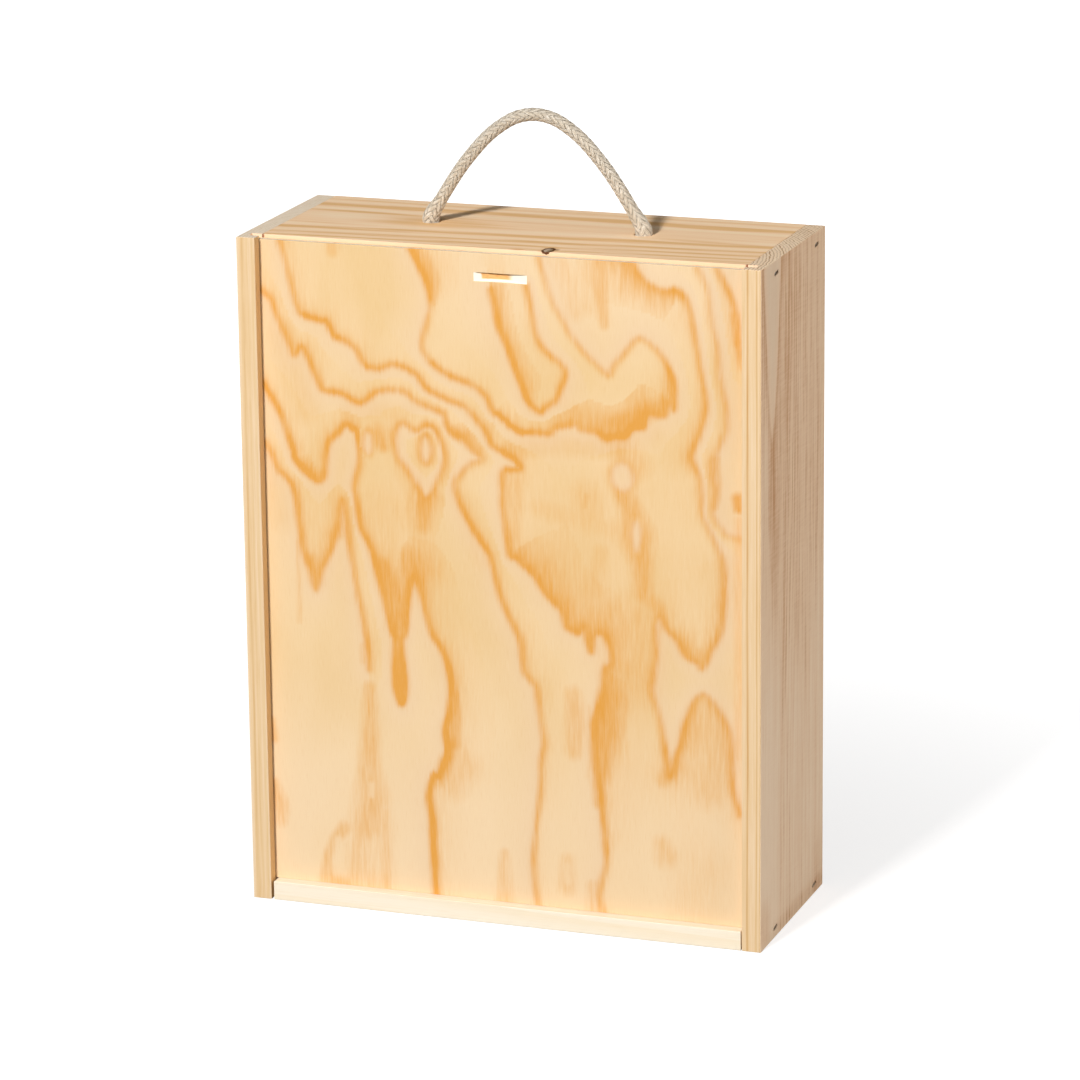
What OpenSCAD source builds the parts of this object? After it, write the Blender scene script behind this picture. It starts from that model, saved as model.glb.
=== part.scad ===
// Wooden box for three wine bottles. Four pine boards make the carcass, a plywood
// panel closes the back, and a plywood lid slides up and out of the grooves in the
// sides. A rope handle is knotted under the top board. Origin: middle of the underside.
// Front is -Y, up is +Z. Millimetres.

/* [Carcass] */
// Width over the two side boards
box_w = 275; // [255:1:290]
// Height from the underside to the top face
box_h = 350; // [320:1:380]
// Depth from the front edges to the rear edges of the side boards
box_d = 110; // [100:1:130]
// Thickness of each side board
side_t = 10; // [8:0.5:14]
// Thickness of the top board and of the bottom board
board_t = 10; // [8:0.5:14]

/* [Grooves] */
// Depth of the lid's grooves and of the back panel's grooves in all four boards
groove_depth = 5.5; // [4:0.5:6.5]
// Width of the lip that stays in front of the lid
front_lip = 6; // [4:0.5:10]
// Width of the lip that stays behind the back panel
rear_lip = 6; // [4:0.5:10]
// Play of the lid and of the back panel across a groove, both faces together
groove_play = 0.5; // [0.3:0.1:0.9]
// Play between each edge of a panel and the floor of its groove
edge_play = 0.5; // [0.3:0.1:0.9]

/* [Lid] */
// Thickness of the plywood lid
lid_t = 4; // [3:0.5:6]
// Distance from the top face of the box down to the lid's upper edge
lid_drop = 1.8; // [0:0.1:5]
// Length of the thumb notch across the lid's face
notch_w = 28.6; // [20:0.2:36]
// Height of the thumb notch, which is the thickness of the disc cutter
notch_h = 4.5; // [3:0.5:8]
// Radius of the disc cutter
notch_cutter_r = 50; // [40:1:80]
// Distance from the lid's upper edge to the top of the notch
notch_drop = 9.7; // [6:0.1:20]
// Sideways offset of the notch from the middle of the box
notch_offset = 0.9; // [-5:0.1:5]

/* [Stop rail] */
// Height of the rail that closes the front at the bottom
rail_h = 10; // [8:0.5:14]
// Gap between the rail's left end and the left side board
rail_gap_left = 1.4; // [0:0.1:2]
// Gap between the rail's right end and the right side board
rail_gap_right = 0.5; // [0:0.1:2]

/* [Back panel] */
// Thickness of the plywood back panel
back_t = 4; // [3:0.5:6]

/* [Dividers] */
// Thickness of each plywood divider
divider_t = 4; // [3:0.5:5]
// Depth of the housings that hold a divider in the top and bottom boards
housing_depth = 3; // [2:0.5:4]
// Play of a divider in its housings and in front of the back panel
divider_play = 0.3; // [0.2:0.1:0.8]
// Distance from the front edges of the top and bottom boards to a divider's front edge
divider_setback = 1; // [0.5:0.5:4]

/* [Rope] */
// Diameter of the braided rope
rope_d = 6.5; // [5:0.5:8]
// Clearance all round the rope in its holes
rope_hole_play = 1.5; // [1.5:0.1:2.5]
// Clearance between the swinging arch and the rope ends in the holes
arch_play = 0.3; // [0.2:0.1:0.5]
// Diameter of the knot at each rope end
knot_d = 17; // [15:0.5:19]
// Gap between each knot and the divider beside it, which sets where the rope holes are
knot_gap = 2.8; // [1:0.1:6]
// Distance of the rope holes behind the middle line of the top board
rope_setback = 3; // [0:0.5:6]
// Length of the bare rope end below its knot
rope_end = 8; // [4:1:12]

/* [Staples] */
// Length of a staple's crown
crown_w = 5.6; // [5:0.1:7]
// Width of the staple wire, seen on the crown
wire_w = 1.2; // [0.8:0.1:1.4]
// Thickness of the staple wire
wire_t = 0.9; // [0.6:0.1:1.2]
// Length of a staple's legs
leg_len = 25; // [16:1:30]
// Depth of a crown below the face of the side board
crown_sink = 0.6; // [0.2:0.1:1]
// Distance from the front edges of the top and bottom boards to the front staples
staple_inset = 15; // [10:0.5:25]
// Distance between the rear staples and the back panel's groove
staple_rear_gap = 2; // [1:0.5:10]
// Distance of the top staples below the middle of the top board
staple_drop = 1.5; // [0:0.1:2]
// Slope of the crowns, rising to the rear
staple_slope = 10; // [0:1:20]

/* [Hidden] */

// How far the cutting tools stand out past the wood that they cut
cut_over = 1;
// Facets of drilled and turned shapes
round_fn = 48;

// Width and height between the carcass boards
inner_w = box_w - 2 * side_t;
inner_h = box_h - 2 * board_t;
// Front and rear planes of the box
front_y = -box_d / 2;
rear_y = box_d / 2;

// The lid's groove: its front wall, its width and its rear wall, where the top board starts
lid_groove_y = front_y + front_lip;
lid_groove_w = lid_t + groove_play;
board_front_y = lid_groove_y + lid_groove_w;
board_d = rear_y - board_front_y;
// The back panel's groove
back_groove_w = back_t + groove_play;
back_groove_y = rear_y - rear_lip - back_groove_w;

// Lid: width over the grooves, lower edge on the stop rail, upper edge under the top face
lid_w = inner_w + 2 * (groove_depth - edge_play);
lid_h = box_h - lid_drop - rail_h;
lid_y = lid_groove_y + groove_play / 2;
notch_depth = notch_cutter_r - sqrt(notch_cutter_r * notch_cutter_r - notch_w * notch_w / 4);
notch_top_z = box_h - lid_drop - notch_drop;

// Back panel, in grooves all round
back_w = inner_w + 2 * (groove_depth - edge_play);
back_h = inner_h + 2 * (groove_depth - edge_play);

// Three equal bays between two dividers
bay_w = (inner_w - 2 * divider_t) / 3;
divider_x = bay_w / 2 + divider_t / 2;
divider_y = board_front_y + divider_setback;
divider_d = back_groove_y - divider_play - divider_y;
divider_h = inner_h + 2 * (housing_depth - divider_play);

// Both rope holes lie a little behind the middle line of the top board, with the knots outside
// the dividers
rope_r = rope_d / 2;
rope_hole_x = divider_x + divider_t / 2 + knot_gap + knot_d / 2;
rope_y = board_front_y + board_d / 2 + rope_setback;
rope_hole_d = rope_d + 2 * rope_hole_play;
// One half of the rope arch: distance in from its hole, and height above the top face
rope_half = [[0, 3], [5.5, 12], [11.5, 21.5], [17, 29.5], [23, 37], [29.5, 44.2],
    [36.5, 50.2], [44.5, 55.2], [52.5, 57.6]];
// The whole arch, from the left hole to the right, as [sideways place, height]
rope_route = concat([for (p = rope_half) [p[0] - rope_hole_x, p[1]]],
    [for (p = reversed(rope_half)) [rope_hole_x - p[0], p[1]]]);
rope_sides = 12;
rope_last = len(rope_route) - 1;
// Angles of the rings that round each end of the arch
rope_end_angles = [75, 50, 25];
rope_leg_top = box_h + rope_route[0][1] - rope_r - arch_play;
rope_leg_h = rope_leg_top - (box_h - board_t);
knot_turn_r = knot_d / 2 - rope_r;

// Middle lines of the staples
staple_top_z = box_h - board_t / 2 - staple_drop;
staple_bottom_z = board_t / 2;
staple_rows_y = [board_front_y + staple_inset, back_groove_y - staple_rear_gap - crown_w / 2];

// Direction of the rope at a route point, as [sideways, up]
function route_dir(i) =
    let (a = rope_route[max(i - 1, 0)], b = rope_route[min(i + 1, rope_last)])
    (b - a) / norm(b - a);

// One ring of the rope about a centre, across a direction in the XZ plane
function rope_ring(centre, dir, r) = [
    for (k = [0 : rope_sides - 1])
    let (t = 360 * k / rope_sides)
    [centre[0] - dir[1] * r * cos(t), r * sin(t), centre[1] + dir[0] * r * cos(t)]
];

// The rings that round an end of the rope, at a route point and along a direction out of it
function rope_round(i, out, angles) = [
    for (a = angles)
    rope_ring(rope_route[i] + out * rope_r * sin(a), route_dir(i), rope_r * cos(a))
];

function reversed(list) = [for (i = [len(list) - 1 : -1 : 0]) list[i]];

// One board standing or lying between two corners
module board(low, high) {
    translate(low) cube(high - low);
}

// A staple driven from the right: crown under the face, legs into the wood along -X
module staple(over = 0) {
    leg_y = crown_w / 2 - wire_w / 2;
    rotate([staple_slope, 0, 0]) {
        translate([-wire_t, -crown_w / 2, -wire_w / 2]) cube([wire_t + over, crown_w, wire_w]);
        for (side = [-1, 1]) {
            translate([-leg_len, side * leg_y - wire_w / 2, -wire_w / 2]) cube([leg_len, wire_w, wire_w]);
        }
    }
}

// The staples of one corner, on the right or, with side = -1, mirrored to the left
module staple_row(side, z, over = 0) {
    for (y = staple_rows_y) {
        mirror([side < 0 ? 1 : 0, 0, 0]) translate([box_w / 2 - crown_sink, y, z]) staple(over);
    }
}

// All staples, with the slots that their crowns leave in the side boards
module staple_cuts() {
    for (side = [-1, 1]) {
        staple_row(side, staple_top_z, crown_sink + cut_over);
        staple_row(side, staple_bottom_z, crown_sink + cut_over);
    }
}

// The right side board: the lid's groove is open at both ends, the panel's stops short of them
module side_board() {
    difference() {
        board([inner_w / 2, front_y, 0], [box_w / 2, rear_y, box_h]);
        board([inner_w / 2 - cut_over, lid_groove_y, -cut_over],
            [inner_w / 2 + groove_depth, board_front_y, box_h + cut_over]);
        board([inner_w / 2 - cut_over, back_groove_y, board_t - groove_depth],
            [inner_w / 2 + groove_depth, back_groove_y + back_groove_w, box_h - board_t + groove_depth]);
        staple_cuts();
    }
}

// The bottom board, with the panel groove and two divider housings in its upper face
module end_board() {
    housing_w = divider_t + 2 * divider_play;
    difference() {
        board([-inner_w / 2, board_front_y, 0], [inner_w / 2, rear_y, board_t]);
        board([-inner_w / 2 - cut_over, back_groove_y, board_t - groove_depth],
            [inner_w / 2 + cut_over, back_groove_y + back_groove_w, board_t + cut_over]);
        for (side = [-1, 1]) {
            board([side * divider_x - housing_w / 2, board_front_y - cut_over, board_t - housing_depth],
                [side * divider_x + housing_w / 2, back_groove_y + cut_over, board_t + cut_over]);
        }
    }
}

module divider(side) {
    translate([side * divider_x - divider_t / 2, divider_y, box_h / 2 - divider_h / 2])
        cube([divider_t, divider_d, divider_h]);
}

// The straight rope from the knot up through its hole
module rope_leg(side) {
    translate([side * rope_hole_x, rope_y, box_h - board_t])
        cylinder(d = rope_d, h = rope_leg_h, $fn = round_fn);
}

// An overhand knot drawn tight: two turns of rope round a core, and the cut end below
module rope_knot(side) {
    translate([side * rope_hole_x, rope_y, box_h - board_t]) {
        for (turn = [1, 3]) {
            translate([0, 0, -turn * rope_r])
                rotate_extrude($fn = round_fn) translate([knot_turn_r, 0]) circle(r = rope_r, $fn = round_fn);
        }
        translate([0, 0, -4 * rope_r]) cylinder(r = knot_turn_r, h = 4 * rope_r, $fn = round_fn);
        translate([0, 0, -4 * rope_r - rope_end]) cylinder(d = rope_d, h = rope_end, $fn = round_fn);
    }
}

module side_left() {
    color("wheat") mirror([1, 0, 0]) side_board();
}

module side_right() {
    color("wheat") side_board();
}

module top_board() {
    color("tan") difference() {
        translate([0, 0, box_h]) mirror([0, 0, 1]) end_board();
        for (side = [-1, 1]) {
            translate([side * rope_hole_x, rope_y, box_h - board_t - cut_over])
                cylinder(d = rope_hole_d, h = board_t + 2 * cut_over, $fn = round_fn);
        }
        staple_cuts();
    }
}

module bottom_board() {
    color("tan") difference() {
        end_board();
        staple_cuts();
    }
}

// The rail stands on the floor in front of the bottom board and carries the lid
module lid_stop_rail() {
    color("cornsilk") board([-inner_w / 2 + rail_gap_left, front_y, 0],
        [inner_w / 2 - rail_gap_right, board_front_y, rail_h]);
}

module back_panel() {
    color("burlywood")
        translate([-back_w / 2, back_groove_y + groove_play / 2, box_h / 2 - back_h / 2])
        cube([back_w, back_t, back_h]);
}

// The lid: its thumb notch is a shallow bite of a flat disc cutter
module sliding_lid() {
    color("moccasin") difference() {
        translate([-lid_w / 2, lid_y, rail_h]) cube([lid_w, lid_t, lid_h]);
        translate([notch_offset, lid_y + notch_depth - notch_cutter_r, notch_top_z - notch_h])
            cylinder(r = notch_cutter_r, h = notch_h, $fn = 2 * round_fn);
    }
}

module divider_left() {
    color("burlywood") divider(-1);
}

module divider_right() {
    color("burlywood") divider(1);
}

// The arch of rope above the box, round at both ends where it turns in the holes
module rope_arch() {
    first_dir = route_dir(0);
    last_dir = route_dir(rope_last);
    rings = concat(
        rope_round(0, -first_dir, rope_end_angles),
        [for (i = [0 : rope_last]) rope_ring(rope_route[i], route_dir(i), rope_r)],
        rope_round(rope_last, last_dir, reversed(rope_end_angles)));
    ring_last = len(rings) - 1;
    points = [for (ring = rings) each ring];
    first_cap = [for (k = [0 : rope_sides - 1]) k];
    last_cap = [for (k = [rope_sides - 1 : -1 : 0]) ring_last * rope_sides + k];
    walls = [
        for (i = [0 : ring_last - 1])
        for (k = [0 : rope_sides - 1])
        let (a = i * rope_sides + k, b = i * rope_sides + (k + 1) % rope_sides)
        each [[a, a + rope_sides, b], [b, a + rope_sides, b + rope_sides]]
    ];
    color("antiquewhite") translate([0, rope_y, box_h])
        polyhedron(points = points, faces = concat([first_cap], walls, [last_cap]));
}

module rope_leg_left() {
    color("antiquewhite") rope_leg(-1);
}

module rope_leg_right() {
    color("antiquewhite") rope_leg(1);
}

module rope_knot_left() {
    color("antiquewhite") rope_knot(-1);
}

module rope_knot_right() {
    color("antiquewhite") rope_knot(1);
}

module staples_top_left() {
    color("dimgray") staple_row(-1, staple_top_z);
}

module staples_top_right() {
    color("dimgray") staple_row(1, staple_top_z);
}

module staples_bottom_left() {
    color("dimgray") staple_row(-1, staple_bottom_z);
}

module staples_bottom_right() {
    color("dimgray") staple_row(1, staple_bottom_z);
}

side_left();
side_right();
top_board();
bottom_board();
lid_stop_rail();
back_panel();
sliding_lid();
divider_left();
divider_right();
rope_arch();
rope_leg_left();
rope_leg_right();
rope_knot_left();
rope_knot_right();
staples_top_left();
staples_top_right();
staples_bottom_left();
staples_bottom_right();
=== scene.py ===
import math

import bmesh
import bpy
import numpy as np
from mathutils import Matrix, Vector
from mathutils.kdtree import KDTree


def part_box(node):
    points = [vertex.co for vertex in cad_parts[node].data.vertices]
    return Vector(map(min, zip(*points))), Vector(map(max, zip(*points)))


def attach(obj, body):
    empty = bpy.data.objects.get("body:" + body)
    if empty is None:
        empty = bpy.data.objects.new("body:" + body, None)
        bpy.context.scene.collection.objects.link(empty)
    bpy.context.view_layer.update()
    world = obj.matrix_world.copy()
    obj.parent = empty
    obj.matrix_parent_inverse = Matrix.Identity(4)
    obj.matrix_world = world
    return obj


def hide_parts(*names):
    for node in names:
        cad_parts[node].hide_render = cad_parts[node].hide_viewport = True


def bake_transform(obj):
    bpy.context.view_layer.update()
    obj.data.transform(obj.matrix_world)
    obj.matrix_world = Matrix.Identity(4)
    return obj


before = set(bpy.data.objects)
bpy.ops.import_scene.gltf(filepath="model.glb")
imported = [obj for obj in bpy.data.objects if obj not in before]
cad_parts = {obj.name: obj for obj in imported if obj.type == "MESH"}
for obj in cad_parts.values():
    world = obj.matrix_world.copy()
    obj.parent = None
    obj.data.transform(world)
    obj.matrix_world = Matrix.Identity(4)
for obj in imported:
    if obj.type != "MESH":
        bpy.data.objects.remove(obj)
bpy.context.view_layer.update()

# Camera
# A long lens on a stand right of the box and above it, tipped down onto the front.
camera_place = (0.8320, -2.3211, 0.8713)
camera_turn_left = math.radians(19.658)
camera_tip_down = math.radians(15.464)
camera_roll = math.radians(-0.647)
lens_length = 167.1

lens = bpy.data.cameras.new("camera")
lens.lens = lens_length
lens.sensor_width = 36.0
lens.clip_end = 50.0
camera = bpy.data.objects.new("camera", lens)
bpy.context.scene.collection.objects.link(camera)
camera.matrix_world = (
    Matrix.Translation(camera_place)
    @ Matrix.Rotation(camera_turn_left, 4, "Z")
    @ Matrix.Rotation(math.pi / 2 - camera_tip_down, 4, "X")
    @ Matrix.Rotation(camera_roll, 4, "Z")
)
bpy.context.scene.camera = camera
bpy.context.scene.view_settings.view_transform = "Standard"

# Rope handle
# Braided natural fibre rope, sixteen strands over a soft core. It comes up out of one
# hole of the top board, stands in an arch by its own stiffness and goes into the other.
rope_d = 0.0065
hole_low, hole_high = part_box("rope_leg_left")
hole_x = -(hole_low.x + hole_high.x) / 2
rope_y = (hole_low.y + hole_high.y) / 2
board_under_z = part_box("top_board")[0].z
box_top_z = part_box("top_board")[1].z
# One half of the arch: distance in from its hole, and height above the top face
rope_half = [
    (0.0, 0.003), (0.0055, 0.012), (0.0115, 0.0215), (0.017, 0.0295), (0.023, 0.037), (0.0295, 0.0442),
    (0.0365, 0.0502), (0.0445, 0.0552), (0.0525, 0.0576)]
rope_strands = 8
rope_crossing = 0.0042
rope_ring_gap = 0.00032
rope_ring_points = 72
braid_relief = 0.00055
yarns_in_strand = 4
# How far the loose strands stand off the plain rope, and how much more where they crowd into a hole
strand_stand_off = 0.0001
mouth_swell = 0.0011


def smooth_line(points, gap):
    """Points about a gap apart on a smooth curve through given points with any number of values."""
    points = np.array(points, float)
    points = np.vstack([2 * points[0] - points[1], points, 2 * points[-1] - points[-2]])
    fine = []
    for a, b, c, d in zip(points[:-3], points[1:-2], points[2:-1], points[3:]):
        count = max(1, round(np.linalg.norm((c - b)[:3]) / gap))
        for t in np.arange(count) / count:
            fine.append(b + 0.5 * t * (c - a + t * (2 * a - 5 * b + 4 * c - d + t * (3 * (b - c) + d - a))))
    fine.append(points[-2])
    return np.array(fine)


def even_line(points, gap):
    """The same curve with all its points the same distance apart."""
    fine = smooth_line(points, gap / 4)
    run = np.concatenate([[0], np.cumsum(np.linalg.norm(np.diff(fine, axis=0), axis=1))])
    places = np.linspace(0, run[-1], max(2, round(run[-1] / gap)) + 1)
    return np.stack([np.interp(places, run, fine[:, k]) for k in range(3)], axis=1)


def braid_surface(run, turn):
    """The braid at a distance along the rope and a turn round it.

    Returns its height, the place across the strand that lies on top, and which strand that is.
    """
    right = turn * rope_strands + run / rope_crossing
    left = turn * rope_strands - run / rope_crossing
    lift = 0.34
    roundness = 0.92
    right_over = np.cos(np.pi / 2 * (left + np.floor(right) - 1))
    left_over = np.cos(np.pi / 2 * (right + np.floor(left) - 3))
    right_up = np.sqrt(1 - roundness * (2 * (right % 1) - 1) ** 2) + lift * right_over
    left_up = np.sqrt(1 - roundness * (2 * (left % 1) - 1) ** 2) + lift * left_over
    over = right_up > left_up
    height = np.where(over, right_up, left_up)
    across = np.where(over, right % 1, left % 1)
    leftward = rope_strands + np.floor(left) % rope_strands
    strand = np.where(over, np.floor(right) % rope_strands, leftward)
    return height / (1 + lift), across, strand


def braided_rope(name, line, radius, ends_in):
    """A closed rope along a line, with its braid in the mesh.

    radius is one number, or one for each of the line's points; ends_in rings are rounded off at each end.
    """
    ahead = np.gradient(line, axis=0)
    ahead /= np.linalg.norm(ahead, axis=1)[:, None]
    side = np.zeros_like(line)
    side[0] = np.cross(ahead[0], (0, 1, 0) if abs(ahead[0][1]) < 0.9 else (1, 0, 0))
    for k in range(1, len(line)):
        side[k] = side[k - 1] - ahead[k] * (side[k - 1] @ ahead[k])
    side /= np.linalg.norm(side, axis=1)[:, None]
    other = np.cross(ahead, side)
    run = np.concatenate([[0], np.cumsum(np.linalg.norm(np.diff(line, axis=0), axis=1))])
    turn = np.arange(rope_ring_points) / rope_ring_points
    runs, turns = np.meshgrid(run, turn, indexing="ij")
    height, across, strand = braid_surface(runs, turns)
    ring = np.minimum(np.arange(len(line)), np.arange(len(line))[::-1])
    rounding = np.sqrt(1 - (1 - np.clip((ring + 1) / (ends_in + 1), 0, 1)) ** 2)
    reach = (np.broadcast_to(radius, len(line))[:, None] - braid_relief * (1 - height)) * rounding[:, None]
    angle = 2 * np.pi * turns
    rings = (line[:, None] + reach[..., None] * (np.cos(angle)[..., None] * side[:, None]
                                                  + np.sin(angle)[..., None] * other[:, None]))
    count = rope_ring_points
    last = (len(line) - 1) * count
    faces = []
    for start in range(0, last, count):
        for k in range(count):
            beside = (k + 1) % count
            faces.append((start + k, start + beside, start + count + beside, start + count + k))
    faces.append(tuple(range(count - 1, -1, -1)))
    faces.append(tuple(last + k for k in range(count)))
    mesh = bpy.data.meshes.new(name)
    mesh.from_pydata(rings.reshape(-1, 3), [], faces)
    mesh.polygons.foreach_set("use_smooth", [True] * len(faces))
    braid = mesh.attributes.new("braid", "FLOAT_VECTOR", "POINT")
    values = np.stack([across + 3 * strand, runs / rope_crossing, height], axis=-1)
    braid.data.foreach_set("vector", values.astype(np.float32).ravel())
    rope = bpy.data.objects.new(name, mesh)
    bpy.context.scene.collection.objects.link(rope)
    return rope


def paint(red, green, blue):
    """A colour as it is seen, from 0 to 255 for each part, as the linear colour that a material takes."""
    parts = [c / 255 for c in (red, green, blue)]
    return [p / 12.92 if p <= 0.04045 else ((p + 0.055) / 1.055) ** 2.4 for p in parts] + [1.0]


def add(tree, kind, inputs, **settings):
    """Adds a node; each input is a number, a colour or another node's socket."""
    made = tree.nodes.new("ShaderNode" + kind)
    for key, value in settings.items():
        setattr(made, key, value)
    for key, value in inputs.items():
        if isinstance(value, bpy.types.NodeSocket):
            tree.links.new(value, made.inputs[key])
        else:
            made.inputs[key].default_value = value
    return made


def maths(operation, *values):
    """One sum of a material, from numbers and sockets, in the node tree that the sockets lie in."""
    tree = next(value.id_data for value in values if isinstance(value, bpy.types.NodeSocket))
    return add(tree, "Math", dict(enumerate(values)), operation=operation).outputs[0]


def times(first, second):
    """The product of two values."""
    return maths("MULTIPLY", first, second)


def scaled(value, factor, more):
    """A value times a factor, and some more."""
    return maths("MULTIPLY_ADD", value, factor, more)


def plus(first, second):
    """The sum of two values."""
    return maths("ADD", first, second)


def mixed(share, first, second):
    """Two colours mixed by a share."""
    return add(share.id_data, "Mix", {0: share, 6: first, 7: second}, data_type="RGBA").outputs[2]


def eased(value, low, high):
    """A value eased from 0 at low to 1 at high."""
    inputs = {"Value": value, "From Min": low, "From Max": high}
    return add(value.id_data, "MapRange", inputs, interpolation_type="SMOOTHSTEP").outputs[0]


def place_on_piece(tree):
    """The place on the piece, in metres."""
    return add(tree, "TexCoord", {}).outputs["Object"]


def split(place):
    """The three parts of a place, or of another three-part value."""
    return tuple(add(place.id_data, "SeparateXYZ", {0: place}).outputs)


def place_maths(operation, place, other):
    """One sum of a material on a place, in the node tree that it lies in."""
    return add(place.id_data, "VectorMath", {0: place, 1: other}, operation=operation).outputs[0]


def drawn(tree, name):
    """A three-part value that is written on the mesh."""
    return add(tree, "Attribute", {}, attribute_name=name).outputs["Vector"]


def grain_noise(place, sizes, detail=2.0):
    """Noise about 0.5 whose marks are about as large as sizes, along the three axes."""
    steps = place_maths("MULTIPLY", place, [1 / size for size in sizes])
    return add(place.id_data, "TexNoise", {"Vector": steps, "Scale": 1.0, "Detail": detail}).outputs["Fac"]


def overlaid(colour, value, low, high, most, over):
    """A colour under another one, which shows from none at low to most at high."""
    return mixed(times(eased(value, low, high), most), colour, over)


def finished(name, build, roughness, specular, metallic=0.0):
    """A material whose nodes build() makes: the colour, the bump height and its depth in metres."""
    made = bpy.data.materials.new(name)
    made.use_nodes = True
    tree = made.node_tree
    shader = tree.nodes["Principled BSDF"]
    colour, height, depth = build(tree)
    tree.links.new(colour, shader.inputs["Base Color"])
    bump = add(tree, "Bump", {"Strength": 1.0, "Distance": depth, "Height": height})
    tree.links.new(bump.outputs[0], shader.inputs["Normal"])
    shader.inputs["Roughness"].default_value = roughness
    shader.inputs["Specular IOR Level"].default_value = specular
    shader.inputs["Metallic"].default_value = metallic
    return made


def rope_yarns(tree):
    """Pale yarns side by side in each strand, with painted shade between them and in the furrows, and stray
    fibres; the dark flecks are partly dark fibres and partly painted shade in small crevices.
    """
    braid = drawn(tree, "braid")
    across, lift = split(braid)[::2]
    place = place_on_piece(tree)
    yarn = maths("COSINE", times(across, 2 * math.pi * yarns_in_strand))
    stroke = grain_noise(braid, (0.22, 0.5, 3.0))
    fibre = grain_noise(braid, (0.07, 1.1, 3.0), 3.0)
    wool = grain_noise(place, [0.0005] * 3, 3.0)
    cloud = grain_noise(place, [0.006] * 3)
    patchy_shade = eased(grain_noise(place, [0.0016] * 3), 0.38, 0.62)
    # Painted shade: darker where the braid sinks into its furrows, patchy by noise.
    furrow_painted_shade = times(eased(lift, 0.72, 0.30), scaled(patchy_shade, 0.6, 0.25))
    # Painted shade in the gaps between the yarns of each strand.
    gap = eased(scaled(fibre, 0.9, yarn), 0.2, -0.6)
    pale = mixed(eased(stroke, 0.40, 0.60), paint(217, 202, 180), paint(245, 235, 219))
    pale = overlaid(pale, cloud, 0.35, 0.7, 0.6, paint(221, 207, 185))
    yarn_gap_shaded = mixed(times(gap, scaled(patchy_shade, 0.5, 0.2)), pale, paint(160, 138, 110))
    shaded = mixed(furrow_painted_shade, yarn_gap_shaded, paint(104, 86, 64))
    # Dark flecks: partly dark fibres, partly painted shade in small crevices of the yarn.
    flecked = overlaid(shaded, wool, 0.60, 0.70, 0.45, paint(120, 100, 76))
    height = plus(times(yarn, 0.5), plus(fibre, wool))
    return flecked, height, 0.00022


rope_finish = finished("rope_yarns", rope_yarns, roughness=0.92, specular=0.1)

left_half = [(-hole_x, rope_y, board_under_z), (-hole_x, rope_y, box_top_z - 0.004)]
left_half += [(inward - hole_x, rope_y, box_top_z + up) for inward, up in rope_half]
rope_route = left_half + [(-x, y, z) for x, y, z in left_half[::-1]]
rope_line = even_line(rope_route, rope_ring_gap)
mouth = np.interp(rope_line[:, 2] - box_top_z, (-0.010, -0.004, 0.002, 0.012), (0, 1, 1, 0))
rope_radii = rope_d / 2 + strand_stand_off + mouth * mouth_swell
rope_handle = braided_rope("rope_handle", rope_line, rope_radii, ends_in=0)
rope_handle.data.materials.append(rope_finish)
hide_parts("rope_arch", "rope_leg_left", "rope_leg_right")
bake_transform(rope_handle)

# Rope knots
# Each end of the rope is tied in an overhand knot under the top board and drawn tight,
# so that it can't slip back through its hole. The cut end hangs below the knot.
knot_turn_r = 0.0036
knot_swell = 0.0022
knot_rise = 0.0040
knot_middle = 0.0068
knot_rope_r = 0.0027
knot_tail_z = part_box("rope_knot_left")[0].z


def overhand_knot(x):
    """The middle line of the knot under the hole at x, from the hole down to the cut end."""
    middle_z = board_under_z - knot_middle
    line = [(x, rope_y, board_under_z + 0.001)]
    for angle in np.linspace(math.pi / 3, 11 * math.pi / 3, 26):
        out = knot_turn_r + knot_swell * math.cos(1.5 * angle)
        up = knot_rise * math.sin(1.5 * angle)
        line.append((x + out * math.cos(angle), rope_y + out * math.sin(angle), middle_z + up))
    line.append((x + 0.0012, rope_y - 0.0008, knot_tail_z + 0.006))
    line.append((x + 0.0004, rope_y, knot_tail_z))
    return line


for knot_side, knot_x in (("left", -hole_x), ("right", hole_x)):
    knot_line = even_line(overhand_knot(knot_x), rope_ring_gap)
    knot = braided_rope("rope_knot_" + knot_side + "_tied", knot_line, knot_rope_r, ends_in=4)
    knot.data.materials.append(rope_finish)
    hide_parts("rope_knot_" + knot_side)
    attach(knot, "carcass")

# Floor and light
# The box stands on white paper. The main lamp is in front, a little left and above; a wide
# weak one hangs over it, one lights the right side and a low weak one the back.
box_middle = Vector((0, 0, 0.17))
floor_w = 24
# How brightly the paper glows where it is seen near the box, and how much more far off
near_glow = 0.75
far_glow_more = 0.28
room_light = 0.06


def reach(place, middle, half):
    """How far a place lies from a middle, in half sizes along the three axes."""
    near = place_maths("MULTIPLY", place_maths("SUBTRACT", place, middle), [1 / size for size in half])
    return add(place.id_data, "VectorMath", {0: near}, operation="LENGTH").outputs["Value"]


def seen(tree):
    """1 where the camera sees a thing, straight or in a shiny surface, and 0 for the light that it throws."""
    rays = add(tree, "LightPath", {}).outputs
    through = maths("MAXIMUM", rays["Is Glossy Ray"], rays["Is Transmission Ray"])
    return maths("MAXIMUM", rays["Is Camera Ray"], through)


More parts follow.
